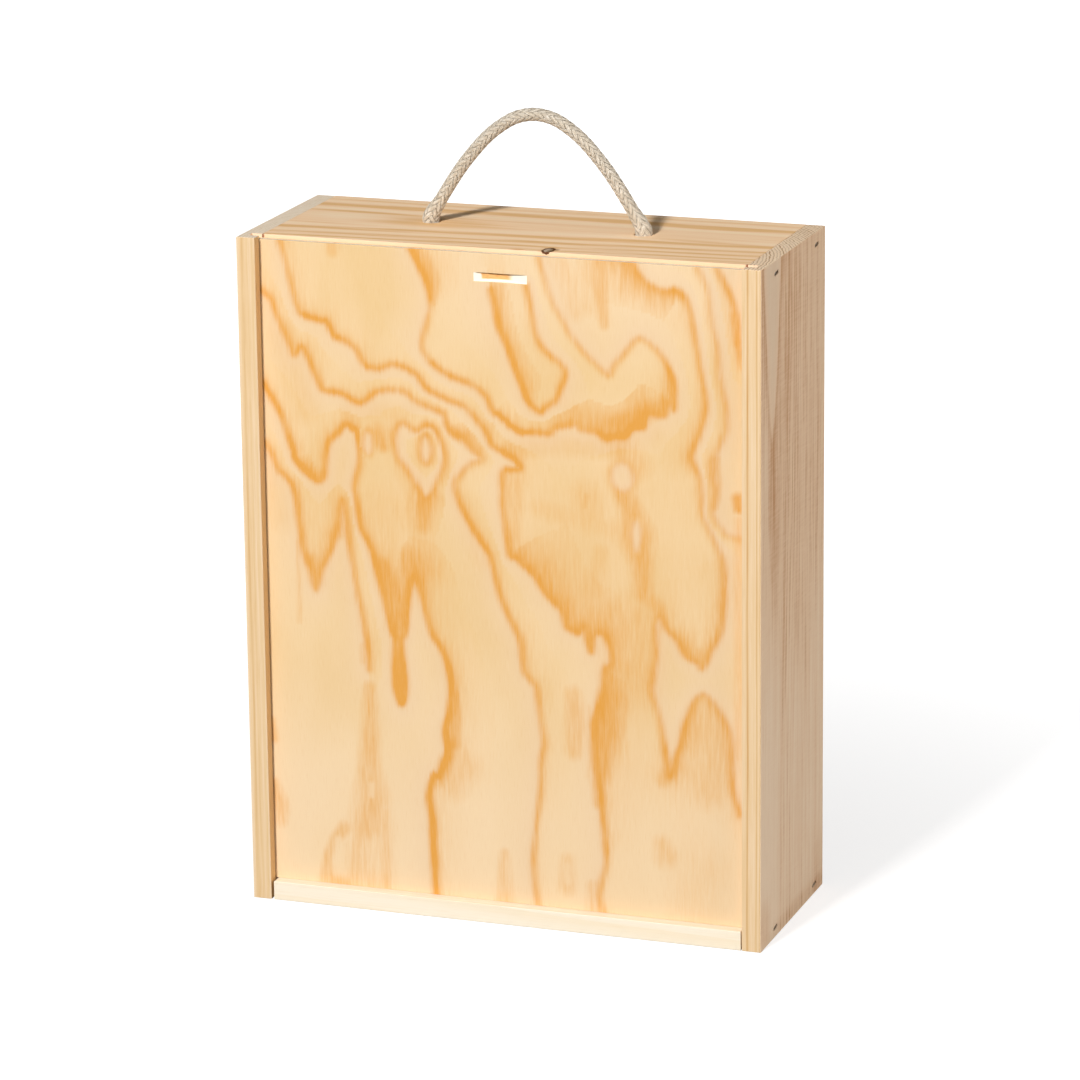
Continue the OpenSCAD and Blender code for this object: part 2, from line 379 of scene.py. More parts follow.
bpy.ops.object.select_all(action="DESELECT")
bpy.ops.mesh.primitive_plane_add(size=floor_w)
floor = bpy.context.object
floor.name = "floor"
paper = bpy.data.materials.new("white_paper")
paper.use_nodes = True
paper_tree = paper.node_tree
paper_tree.nodes.clear()
paper_lit = add(paper_tree, "BsdfDiffuse", {"Color": (0.3, 0.3, 0.3, 1.0)}).outputs[0]
paper_shown = add(paper_tree, "BsdfDiffuse", {"Color": (0.42, 0.41, 0.405, 1.0)}).outputs[0]
paper_reach = reach(place_on_piece(paper_tree), (0, 0, 0), (1, 1, 1))
glow_level = scaled(eased(paper_reach, 0.1, 0.7), far_glow_more, near_glow)
paper_glow = add(paper_tree, "Emission", {"Strength": glow_level}).outputs[0]
paper_bright = add(paper_tree, "AddShader", {0: paper_shown, 1: paper_glow}).outputs[0]
paper_mix = add(paper_tree, "MixShader", {0: seen(paper_tree), 1: paper_lit, 2: paper_bright}).outputs[0]
add(paper_tree, "OutputMaterial", {0: paper_mix})
floor.data.materials.append(paper)

room = bpy.data.worlds.new("room")
bpy.context.scene.world = room
room.use_nodes = True
room_tree = room.node_tree
room_tree.nodes.clear()
room_air = add(room_tree, "Background", {"Color": (1, 1, 1, 1), "Strength": room_light}).outputs[0]
room_white = add(room_tree, "Background", {"Color": (1, 1, 1, 1), "Strength": 1.0}).outputs[0]
room_mix = add(room_tree, "MixShader", {0: seen(room_tree), 1: room_air, 2: room_white}).outputs[0]
add(room_tree, "OutputWorld", {0: room_mix})


def soft_lamp(name, turn, height, distance, size, level):
    """A square soft lamp, turned right from straight ahead and raised by two angles, in degrees.

    level is how bright a white sheet at the box looks that faces the lamp.
    """
    turn = math.radians(turn)
    height = math.radians(height)
    lamp = bpy.data.lights.new(name, "AREA")
    lamp.size = size
    lamp.energy = level * math.pi ** 2 * distance ** 2
    lamp_object = bpy.data.objects.new(name, lamp)
    bpy.context.scene.collection.objects.link(lamp_object)
    way = Vector((math.sin(turn) * math.cos(height), -math.cos(turn) * math.cos(height), math.sin(height)))
    lamp_object.location = box_middle + way * distance
    lamp_object.rotation_euler = way.to_track_quat("Z", "Y").to_euler()


soft_lamp("main_lamp", -10, 31, 5.0, 0.62, 1.09)
soft_lamp("high_lamp", -12, 65, 2.2, 1.2, 0.09)
soft_lamp("side_lamp", 84, 7, 2.5, 1.6, 0.56)
soft_lamp("rear_lamp", 176, 2, 3.0, 1.6, 0.25)

# Sliding lid
# Three-ply pine plywood, sanded. Its face veneer is peeled off a log, which draws the wild
# figure, and a disc cutter has bitten the thumb notch. It slides in the sides' grooves.
lid_low, lid_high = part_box("sliding_lid")
lid_grid_gap = 0.0012
sheet_arris = 0.0003
notch_x = 0.0009
notch_top_z = 0.3385
notch_h = 0.0045
notch_cutter_r = 0.050
notch_depth = 0.00209
ply_rim = 0.00012
mm = 0.001
growth_point_gap = 0.6
eye_points = 60
# Lines where a year's growth ends on the face: how strongly each shows, 1 or -1 for a dark band on its
# left or right, then points across and up in mm, with the width of the dark band where it changes
growth_lines = [
    (0.9, 1, [(-4, 330, 4), (-2, 321), (0, 311), (4, 302), (8, 291), (12, 281), (14, 276, 3), (17, 272, 2),
        (20, 270), (22, 270), (25, 273), (29, 276), (32, 282), (34.5, 290), (32, 295, 1.6), (24, 301),
        (19, 309), (17, 321), (14.5, 333)]),
    (0.85, 1, [(-47, 349, 5), (-42, 340), (-37.5, 330, 4.5), (-36, 320, 1.2), (-38, 312, 1),
        (-41, 300, 1.2), (-38, 293), (-35, 290, 2), (-27, 285), (-19, 282.5), (-15, 281), (-8, 276),
        (-4, 268.5), (0, 266, 3), (6, 261), (11, 258.5), (18, 259), (26, 259, 3.5), (28, 261.5),
        (32, 263, 5), (40, 264.5, 8), (42, 262.5), (50, 261.5), (55, 258.5), (58, 259), (62, 260),
        (65, 260), (70, 265), (75, 266), (76, 270), (78, 273), (84, 272.5), (86, 273, 6), (87, 277),
        (89, 279), (90.5, 276, 4), (91, 280, 5), (90, 292, 3), (84, 303, 1), (77, 309, 0.8), (72, 310),
        (66, 303), (60, 296), (57, 291), (50, 296.5, 0.7), (40, 306), (33, 317), (27, 328), (21, 348)]),
    (0.8, 1, [(-116.5, 348, 3), (-113, 336), (-109.5, 320), (-107.5, 315), (-105, 311), (-95, 308.5),
        (-92, 308), (-88, 301, 3), (-85, 300), (-77, 295.5), (-72, 287.5), (-68, 286), (-64, 286),
        (-56, 288.5, 2), (-45, 284.5), (-39, 277.5), (-28, 272.5), (-20, 270), (-16, 267), (-9, 259, 3),
        (-5, 251.5), (-2, 249), (5, 245.5, 4), (8, 243.5), (10, 240, 2), (6, 239), (1, 237), (0.5, 220),
        (2, 210), (3.5, 197, 5), (5, 193.5), (8, 193, 7), (11, 190), (17, 185, 9), (23, 176), (31, 168),
        (33, 161.5), (34, 159.5), (40, 157, 10), (43, 160), (45, 153), (47, 148), (48, 155), (50, 158),
        (54, 157, 6), (57, 150, 4), (57.5, 143), (54, 139, 5), (53, 130, 7), (52, 125), (48, 112),
        (48, 105), (49, 90, 5), (51, 75, 3), (53, 53), (54, 38, 1.5), (51, 25), (50, 18), (52, 10)]),
    (0.7, -1, [(60, 352, 6), (68, 350), (72, 344), (78, 338), (86, 335), (92, 336), (97, 332, 3),
        (99.5, 325), (102, 312, 2), (105.5, 292), (107, 284, 3), (107, 276), (104, 265, 3.5), (100.5, 256),
        (100, 251), (103.5, 243, 2), (104.5, 238), (105, 225), (107, 219, 1.5), (113, 207), (116, 200, 2.5),
        (116.5, 185), (115, 166, 4), (110, 155), (108, 150, 8), (106, 146), (104.5, 144.5), (103, 147),
        (97, 150), (92, 158, 5), (87, 163, 4), (83.5, 169, 4), (81, 166, 2), (80.5, 150), (79, 137),
        (78.5, 130), (82, 118), (85, 105), (88, 87, 4), (92, 99), (94, 104), (96.5, 115), (101, 126),
        (104, 129.5), (107, 130), (114, 122), (119, 112), (120, 97, 2.5), (121, 82), (125, 70)]),
    (0.5, -1, [(103, 348, 1.6), (108, 337), (110, 322, 2), (113, 308), (114.5, 293), (117.5, 279, 2.5),
        (118, 270), (116.5, 264), (112, 255, 3.5), (110, 250), (110, 245), (111, 240), (112, 235),
        (110.5, 226, 2.5), (112, 221), (115, 217, 1.5), (118, 214), (127, 212)]),
    (0.6, -1, [(113, 348, 2), (119, 337, 2.5), (123, 325, 3), (124.5, 312), (126, 300, 2)]),
    (0.75, 1, [(-127.5, 322, 3), (-122, 318), (-119, 310), (-112, 294, 3), (-110, 290), (-106, 294),
        (-103, 290), (-97, 276), (-94, 272.5, 2.5), (-85, 271.5), (-76, 267.5), (-72, 269), (-64, 274.5, 2),
        (-52, 275), (-45, 270.5), (-38, 268), (-31, 265.5), (-29, 262.5), (-28, 258, 4), (-24, 254.5),
        (-20, 253, 5), (-14, 247, 3), (-10, 243, 2), (-16, 240), (-22, 234), (-24.5, 228), (-22, 219, 2.5),
        (-15, 206), (-8, 196), (-6, 192), (-3, 179, 2.5), (1, 167), (7, 155, 3), (9, 150), (10.5, 138),
        (12, 133, 3), (17, 127), (18, 122), (19.5, 110, 2), (21, 97), (20, 90), (19, 72), (17, 55, 1.6),
        (15, 35), (15, 25), (17, 10)]),
    (0.9, 1, [(-127.5, 274, 2.5), (-123, 267), (-120, 262), (-116, 253), (-112, 240, 3), (-111, 236),
        (-106, 230, 6), (-103, 227.5), (-98, 225, 6), (-95, 229), (-94.5, 234, 3), (-92.5, 245), (-87, 251),
        (-83, 255.5, 3), (-80, 254), (-77, 252), (-76, 245, 2), (-76, 237), (-79, 224, 2), (-78, 218),
        (-76, 203, 3), (-71, 193), (-68, 183, 5), (-65, 170), (-60, 149, 5), (-58.5, 145), (-59, 130),
        (-58.5, 120, 6), (-57, 113), (-55.5, 111), (-54, 115), (-53.5, 125), (-55, 143, 4), (-52.5, 150),
        (-51, 165, 5), (-49, 175, 7), (-47, 178, 8), (-45, 174, 5), (-42, 162, 3.5), (-38.5, 150),
        (-33, 141.5), (-30, 133), (-28.5, 123), (-29.5, 110, 4), (-32, 99), (-31, 88), (-33, 82),
        (-36, 74.5, 3), (-39, 74), (-41.5, 63, 2.5), (-40, 50), (-39.5, 30), (-38.5, 10)]),
    (0.75, 1, [(-56.5, 245, 2), (-57, 250), (-56, 255), (-53, 258.5), (-50, 258), (-47, 256), (-44, 255.5),
        (-41, 258), (-38, 258.5), (-35, 257), (-32, 252), (-29.5, 243), (-31, 236), (-35, 227),
        (-37, 223, 5), (-40, 220.5), (-42, 221.5), (-46, 228, 2), (-50, 234), (-55, 240), (-56.5, 245)]),
    (0.7, 1, [(-127, 243, 2), (-124, 238), (-120, 229), (-117, 227), (-112, 220, 3), (-110, 208),
        (-108, 190, 3), (-106, 183, 5), (-103, 177), (-101, 168), (-98, 178, 4), (-92, 190), (-90, 197),
        (-88, 203, 3), (-87, 210), (-85.5, 216), (-84, 210), (-82.5, 196, 2), (-80, 178), (-76, 155, 2.5),
        (-73.5, 140), (-73, 128, 2)]),
]
# Closed rings round small swellings of the log: strength, middle, half width and half height, band
growth_eyes = [
    (0.5, (-71, 247), (3.2, 6.3), 1.5), (0.8, (-40, 246), (3.6, 7.5), 1.3),
    (0.3, (71, 210), (3.3, 8.5), 2.5), (0.4, (64, 239.5), (6.5, 8), 2),
]
# Patches where the veneer runs within the dark wood: strength, then a stroke of points with half widths
dark_patches = [
    (0.35, [(-42, 350, 3.5), (-35.5, 336, 3.2), (-33.5, 328, 2.5), (-34, 321, 1.2)]),
    (0.55, [(53, 350, 4), (53, 330, 4), (55, 316, 2.5)]), (0.25, [(66, 349, 9), (66, 338, 8)]),
    (0.2, [(46, 350, 5), (47, 325, 5)]), (0.22, [(30, 350, 5), (38, 335, 6), (40, 322, 5)]),
    (0.6, [(112, 252, 2.5), (113, 240, 2.5), (111.5, 228, 2)]), (0.6, [(121.5, 325, 2.5), (123, 312, 2.5)]),
    (1.0, [(123.5, 233, 3.2), (124, 228, 2.6)]), (0.25, [(124, 222, 2.5), (124, 100, 2.5)]),
    (0.35, [(64, 255, 8), (72, 246, 7)]), (0.55, [(58, 267, 4), (74, 272, 5), (85, 278, 5)]),
    (0.35, [(88, 284, 4), (89, 292, 3)]),
    (0.65, [(64, 230, 5), (68, 224, 6), (71, 210, 9), (74, 195, 6), (74, 180, 5)]),
    (0.5, [(74, 180, 5), (83, 173, 4)]), (0.3, [(68, 165, 14), (67, 135, 14)]),
    (0.3, [(75, 155, 2), (75.5, 140, 2)]),
    (0.65, [(58, 124, 8), (55, 110, 8), (52, 95, 7), (51, 80, 5), (50, 68, 3)]),
    (0.45, [(37, 124, 5), (38, 110, 5.5), (37, 95, 5)]), (0.2, [(45, 118, 2), (45, 82, 2)]),
    (0.3, [(99, 104, 7), (107, 118, 10), (113, 100, 9), (108, 80, 9)]), (0.4, [(84, 84, 4), (90, 92, 4)]),
    (0.7, [(-66, 251, 6), (-63, 246, 3.5)]), (0.6, [(-41, 216, 4.5), (-42, 206, 4)]),
    (0.75, [(-64, 184, 4), (-58, 168, 6), (-56.5, 152, 4)]), (0.55, [(-50, 190, 5), (-48, 181, 5)]),
    (0.7, [(-56, 132, 3), (-56, 116, 3)]), (0.3, [(-110, 192, 1.5), (-110.5, 150, 1.5)]),
    (0.4, [(-103, 182, 4), (-102, 172, 3.5)]), (0.35, [(-87, 210, 2.5), (-88, 198, 3)]),
    (0.5, [(-73, 118, 3.5), (-73, 98, 5), (-74, 78, 6), (-73, 60, 9), (-75, 42, 10)]),
    (0.3, [(-73, 44, 11), (-75, 30, 12), (-76, 8, 14)]), (0.4, [(-66, 52, 3), (-66, 12, 4)]),
    (0.4, [(-80, 42, 4), (-82, 28, 3), (-84, 12, 4)]), (0.3, [(-76, 132, 2), (-76, 140, 2)]),
    (0.5, [(-88, 41, 4), (-94, 34, 3), (-98, 24, 3), (-98, 12, 5), (-88, 9, 6)]),
    (0.45, [(-127, 62, 3), (-124, 50, 5), (-124, 42, 4)]), (0.5, [(-127.5, 96, 2), (-127, 86, 3)]),
    (0.6, [(-26.5, 118, 3), (-26.5, 92, 3)]), (0.45, [(-31, 84, 4), (-36, 71, 4)]),
    (0.25, [(-20, 80, 8), (-28, 68, 7)]), (0.35, [(-1, 36, 3), (-1, 10, 5)]),
    (0.3, [(46, 24, 3), (47, 9, 4)]), (0.3, [(33, 36, 4), (33, 22, 5)]),
    (0.5, [(-25, 256, 3), (-17, 252, 4), (-12, 248, 3)]), (0.4, [(-88, 348, 4), (-88, 344, 3)]),
    (0.25, [(45, 228, 8), (46, 218, 8)]), (0.5, [(45, 228, 3), (44, 223, 2)]),
    (0.2, [(20, 220, 5), (60, 212, 5)]), (0.35, [(8, 232, 5), (6, 205, 4)]),
    (0.25, [(52, 200, 4), (50, 182, 6)]), (0.35, [(86, 44, 7), (84, 50, 5)]),
    (0.15, [(105, 40, 14), (100, 20, 14)]),
]
# Clear patches inside the dark ones
clear_patches = [
    (1.0, [(71, 217, 2.8), (71, 203, 2.8)]), (0.8, [(64, 244, 4.5), (64, 235, 4.5)]),
    (0.7, [(-73, 66, 1.8), (-73, 60, 1.5)]), (0.7, [(-92, 34, 2.5), (-92.5, 18, 3.5)]),
    (0.3, [(-72, 36, 4), (-72, 22, 5)]), (1.0, [(-71, 250, 2.6), (-71, 244, 2.6)]),
    (0.5, [(33, 33, 1.8), (33, 25, 2)]),
]
# Broad tanned fields between the lines
tan_patches = [
    (0.42, [(6, 250, 5), (30, 253, 6), (62, 254, 6)]), (0.13, [(25, 222, 24), (100, 225, 24)]),
    (0.16, [(40, 200, 22), (100, 195, 20)]), (0.2, [(60, 175, 22), (70, 150, 16)]),
    (0.25, [(66, 135, 13), (66, 70, 10)]), (0.35, [(-48, 232, 9), (-42, 190, 8)]),
    (0.3, [(-60, 215, 12), (-64, 180, 8)]), (0.3, [(-116, 300, 7), (-104, 262, 8)]),
    (0.3, [(-80, 262, 6), (-50, 264, 5)]), (0.3, [(-30, 240, 5), (-10, 190, 5)]),
    (0.2, [(30, 275, 3), (80, 262, 6)]), (0.2, [(-122, 235, 8), (-118, 205, 8)]),
    (0.2, [(104, 100, 14), (100, 60, 10)]), (0.15, [(-90, 230, 12), (-95, 180, 12)]),
]


def growth_edges():
    """Points along all growth lines: place, the band's width, the way to its dark side, and strength."""
    rows = []
    for strength, side, points in growth_lines:
        width = 2.5
        carried = []
        for point in points:
            width = point[2] if len(point) > 2 else width
            carried.append((point[0], point[1], width))
        fine = smooth_line(carried, growth_point_gap)
        ahead = np.gradient(fine[:, :2], axis=0)
        ahead /= np.linalg.norm(ahead, axis=1)[:, None] + 1e-9
        rows += [(p[0], p[1], p[2], -a[1] * side, a[0] * side, strength) for p, a in zip(fine, ahead)]
    for strength, middle, half, width in growth_eyes:
        for turn in np.arange(eye_points) / eye_points * 2 * math.pi:
            out = (math.cos(turn), math.sin(turn))
            rows.append((middle[0] + half[0] * out[0], middle[1] + half[1] * out[1], width, *out, strength))
    return np.array(rows)


def patch_strength(at, patches):
    """How strong the strongest of the patches is at each place, with a soft rim."""
    strength = np.zeros(len(at))
    for level, stroke in patches:
        stroke = np.array(stroke, float)
        for start, end in zip(stroke[:-1], stroke[1:]):
            way = (end - start)[:2]
            share = np.clip((at - start[:2]) @ way / (way @ way), 0, 1)
            middle = start[:2] + share[:, None] * way
            half = start[2] + share * (end[2] - start[2])
            away = np.linalg.norm(at - middle, axis=1) / half
            strength = np.maximum(strength, level * np.clip(1.35 - 0.95 * away, 0, 1))
    return strength


def draw_lid_figure(mesh):
    """Writes the veneer's figure on a mesh: late wood, patches of it, and the clear wood beside a line."""
    edges = growth_edges()
    finder = KDTree(len(edges))
    for k, row in enumerate(edges):
        finder.insert((row[0], row[1], 0), k)
    finder.balance()
    co = np.zeros(len(mesh.vertices) * 3)
    mesh.vertices.foreach_get("co", co)
    at = co.reshape(-1, 3)[:, [0, 2]] / mm
    found = [finder.find((x, z, 0)) for x, z in at]
    nearest = edges[[index for place, index, away in found]]
    away = np.array([away for place, index, away in found])
    on_dark_side = ((at - nearest[:, :2]) * nearest[:, 3:5]).sum(1) > 0
    width = nearest[:, 2]
    core = np.exp(-(away / 2.0) ** 2)
    widths_off = np.maximum(away - 0.4, 0) / width
    band = 0.75 * np.exp(-(widths_off / 1.1) ** 1.2) + 0.25 * np.exp(-widths_off / 3.8)
    band = core + (1 - core) * band * np.clip(0.25 + 0.13 * width, 0.35, 0.95)
    late = np.where(on_dark_side, band, core) * nearest[:, 5] * np.clip(0.3 + 0.28 * width, 0.4, 1)
    late = np.minimum(1.2 * late, 1)
    clear = np.where(on_dark_side, 0, np.exp(-0.13 * away))
    patches = 0.9 * patch_strength(at, dark_patches) * (1 - patch_strength(at, clear_patches))
    tanned = patch_strength(at, tan_patches)
    for name, values in (("growth", (late, patches, clear)), ("field", (tanned, 0 * late, 0 * late))):
        layer = mesh.attributes.new(name, "FLOAT_VECTOR", "POINT")
        layer.data.foreach_set("vector", np.stack(values, axis=1).astype(np.float32).ravel())


def less(first, second):
    """The first value less the second."""
    return maths("SUBTRACT", first, second)


def held(value):
    """A value held between 0 and 1."""
    return maths("MINIMUM", maths("MAXIMUM", value, 0.0), 1.0)


def between(value, low, low_full, high_full, high):
    """1 between two places of a value and 0 outside them, eased at both."""
    return times(eased(value, low, low_full), eased(value, high, high_full))


def wood_fibres(place, along, fine=0.00035, length=0.012):
    """Fibre noise with thin marks along one axis, 0, 1 or 2."""
    sizes = [fine] * 3
    sizes[along] = length
    return grain_noise(place, sizes, 3.0)


def ply_colour(place, figure, through, faces):
    """A sheet's face figure, with the cross-laid ply where it is cut: through is the depth axis, 0 or 1."""
    depth = split(place)[through]
    low, high = faces
    first_ply = low + (high - low) * 0.3
    last_ply = low + (high - low) * 0.7
    rough = grain_noise(place, [0.0004] * 3, 3.0)
    wander = scaled(rough, 0.0003, depth)
    core = between(wander, first_ply, first_ply + ply_rim, last_ply, last_ply + ply_rim)
    cut = mixed(eased(rough, 0.35, 0.7), paint(248, 238, 220), paint(230, 214, 188))
    return mixed(core, figure, cut)


def notch_colour(place, colour):
    """The thumb notch's cut: the second ply shows orange left of its middle, the rest is pale, partly
    fresh-cut veneer and partly painted highlight; a painted shadow line runs under its top wall.
    """
    x, y, z = split(place)
    foot_z = notch_top_z - notch_h
    inside = times(eased(y, lid_low.y + 0.00004, lid_low.y + 0.00012),
                   between(z, foot_z - 0.0003, foot_z - 0.0001, notch_top_z + 0.0001, notch_top_z + 0.0003))
    rough = grain_noise(place, (0.0035, 0.0006, 0.0005), 3.0)
    wander = scaled(rough, 0.0016, x)
    ply = between(wander, -0.0092, -0.0078, 0.0045, 0.0085)
    ply = times(ply, eased(z, notch_top_z - 0.0036, notch_top_z - 0.0030))
    # Outside the second ply, the ledge at the foot included, the cut is near white: partly fresh-cut veneer,
    # partly a painted highlight.
    cut = mixed(ply, paint(252, 242, 222), paint(238, 184, 118))
    streaks = times(eased(rough, 0.45, 0.65), 0.5)
    cut = mixed(times(streaks, ply), cut, paint(222, 150, 84))
    # A painted shadow line under the notch's top wall.
    shadow = times(eased(z, notch_top_z - 0.0008, notch_top_z - 0.0004),
                   between(x, -0.0125, -0.0105, 0.0070, 0.0140))
    cut = mixed(times(shadow, 0.8), cut, paint(150, 96, 56))
    return mixed(inside, colour, cut)


def lid_veneer(tree):
    """Honey-pale early wood and orange late wood, a little hairy along the fibres."""
    place = place_on_piece(tree)
    line, patch, clear = split(drawn(tree, "growth"))
    tanned = split(drawn(tree, "field"))[0]
    x, z = split(place)[::2]
    hair = less(wood_fibres(place, 2, 0.0005, 0.010), 0.5)
    tuft = less(wood_fibres(place, 2, 0.0018, 0.016), 0.5)
    streak = scaled(hair, 0.9, tuft)
    vary = scaled(grain_noise(place, (0.025, 0.025, 0.035)), 1.3, 0.35)
    bare = times(less(1.0, times(line, vary)), less(1.0, patch))
    dark = less(1.0, bare)
    rough = scaled(times(dark, bare), 2.4, times(dark, 0.3))
    dark = held(scaled(streak, rough, dark))
    cloud = grain_noise(place, (0.045, 0.045, 0.09))
    pale = mixed(eased(cloud, 0.35, 0.65), paint(228, 198, 153), paint(223, 190, 139))
    tan = times(times(tanned, 2.2), plus(streak, 1.0))
    pale = mixed(held(tan), pale, paint(222, 183, 128))
    foot = times(eased(z, 0.150, 0.050), 0.6)
    head = times(eased(z, 0.285, 0.330), eased(x, -0.050, -0.020))
    open_grown = maths("MAXIMUM", foot, times(head, 0.5))
    pale = mixed(open_grown, pale, paint(233, 207, 172))
    pale = mixed(times(clear, 0.8), pale, paint(224, 194, 159))
    figure = mixed(dark, pale, paint(217, 154, 70))
    fibre = wood_fibres(place, 2, 0.00028, 0.007)
    figure = overlaid(figure, fibre, 0.52, 0.75, 0.16, paint(208, 154, 92))
    figure = overlaid(figure, fibre, 0.46, 0.25, 0.14, paint(238, 218, 187))
    height = scaled(dark, 0.5, fibre)
    edged = ply_colour(place, figure, 1, (lid_low.y, lid_high.y))
    return notch_colour(place, edged), height, 0.00004


def peeled_ply(through, faces, seed):
    """The builder of a plainer peeled veneer, with long soft flames, for the sheets that hardly show."""
    def build(tree):
        place = place_on_piece(tree)
        shifted = place_maths("ADD", place, (seed, seed, seed))
        wave = grain_noise(shifted, (0.07, 0.07, 0.20), 1.0)
        hair = less(wood_fibres(shifted, 2, 0.0006, 0.012), 0.5)
        year = maths("FRACT", scaled(hair, 0.22, times(wave, 11.0)))
        dark = times(maths("POWER", year, 3.0), 0.8)
        cloud = grain_noise(shifted, (0.05, 0.05, 0.09))
        pale = mixed(eased(cloud, 0.35, 0.65), paint(246, 216, 170), paint(238, 204, 156))
        figure = mixed(dark, pale, paint(226, 172, 104))
        fibre = wood_fibres(shifted, 2, 0.0003, 0.008)
        figure = overlaid(figure, fibre, 0.5, 0.75, 0.2, paint(205, 152, 98))
        return ply_colour(place, figure, through, faces), fibre, 0.00005
    return build


def work_on(piece):
    """Selects this piece alone."""
    bpy.ops.object.select_all(action="DESELECT")
    bpy.context.view_layer.objects.active = piece
    piece.select_set(True)


def cut_out(piece, cutter):
    """Takes the cutter's shape out of the piece and throws the cutter away."""
    work_on(piece)
    cut = piece.modifiers.new("cut", "BOOLEAN")
    cut.operation = "DIFFERENCE"
    cut.object = cutter
    cut.solver = "EXACT"
    bpy.ops.object.modifier_apply(modifier="cut")
    bpy.data.objects.remove(cutter)


def shade_flat_faces(piece, sharp_from=12):
    """Smooth shading, but sharp where faces meet at more than an angle, so that broad faces stay flat."""
    work_on(piece)
    bpy.ops.object.shade_smooth_by_angle(angle=math.radians(sharp_from))


lid_size = lid_high - lid_low
lid_middle = (lid_low + lid_high) / 2
bpy.ops.object.select_all(action="DESELECT")
bpy.ops.mesh.primitive_grid_add(
    x_subdivisions=round(lid_size.x / lid_grid_gap), y_subdivisions=round(lid_size.z / lid_grid_gap),
    size=1, location=(lid_middle.x, lid_low.y, lid_middle.z), rotation=(math.pi / 2, 0, 0))
lid = bpy.context.object
lid.name = "lid_panel"
lid.scale = (lid_size.x, lid_size.z, 1)
bpy.ops.object.transform_apply(location=True, rotation=True, scale=True)
bpy.ops.object.mode_set(mode="EDIT")
bpy.ops.mesh.select_mode(type="EDGE")
bpy.ops.mesh.select_all(action="DESELECT")
bpy.ops.mesh.select_non_manifold()
bpy.ops.mesh.extrude_edges_move(TRANSFORM_OT_translate={"value": (0, lid_size.y, 0)})
bpy.ops.mesh.edge_face_add()
bpy.ops.mesh.select_all(action="SELECT")
bpy.ops.mesh.normals_make_consistent(inside=False)
bpy.ops.mesh.select_mode(type="VERT")
bpy.ops.object.mode_set(mode="OBJECT")
lid_ease = lid.modifiers.new("arris", "BEVEL")
lid_ease.width = sheet_arris
lid_ease.segments = 2
lid_ease.limit_method = "ANGLE"
lid_ease.angle_limit = math.radians(60)
bpy.ops.object.modifier_apply(modifier="arris")
bpy.ops.mesh.primitive_cylinder_add(
    vertices=256, radius=notch_cutter_r, depth=notch_h,
    location=(notch_x, lid_low.y + notch_depth - notch_cutter_r, notch_top_z - notch_h / 2))
cut_out(lid, bpy.context.object)
draw_lid_figure(lid.data)
lid.data.materials.append(finished("lid_veneer", lid_veneer, roughness=0.6, specular=0.12))
lid_back_ply = peeled_ply(1, (lid_low.y, lid_high.y), 3.1)
lid.data.materials.append(finished("lid_back_veneer", lid_back_ply, roughness=0.6, specular=0.3))
for face in lid.data.polygons:
    face.material_index = 1 if face.normal.y > 0.9 and face.center.y > lid_middle.y else 0
shade_flat_faces(lid)
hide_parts("sliding_lid")
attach(lid, "lid")

# Side boards
# Two straight-grained pine boards, planed and left raw. The lid's groove runs through from
# end to end inside each, the back panel's stops short, and staples fix them to the others.
board_arris = 0.0006
cut_rim_share = 0.2
slice_gap = 0.008
groove_floor_x = 0.1330
side_outer_x = 0.1375
cutter_over = 0.001
lid_groove = (-0.0490, -0.0445)
back_groove = (0.0445, 0.0490)
back_groove_stop = 0.0045
staple_slot_w = 0.0017
staple_slot_l = 0.0062
staple_slot_depth = 0.0016
crown_sink = 0.0006
staple_slope = math.radians(10)
staple_rows = (-0.0295, 0.0397)
staple_heights = (0.0050, 0.3435)
staple_places = [(y, z) for y in staple_rows for z in staple_heights]


def box_piece(name, low, high):
    """A plain block between two corners, ready to be worked."""
    bpy.ops.object.select_all(action="DESELECT")
    low, high = Vector(map(min, low, high)), Vector(map(max, low, high))
    bpy.ops.mesh.primitive_cube_add(size=1, location=(low + high) / 2)
    piece = bpy.context.object
    piece.name = name
    piece.scale = high - low
    bpy.ops.object.transform_apply(location=True, rotation=True, scale=True)
    return piece


def cut_block(piece, corner, far_corner):
    """Takes the block between two corners out of the piece."""
    cut_out(piece, box_piece("cutter", corner, far_corner))


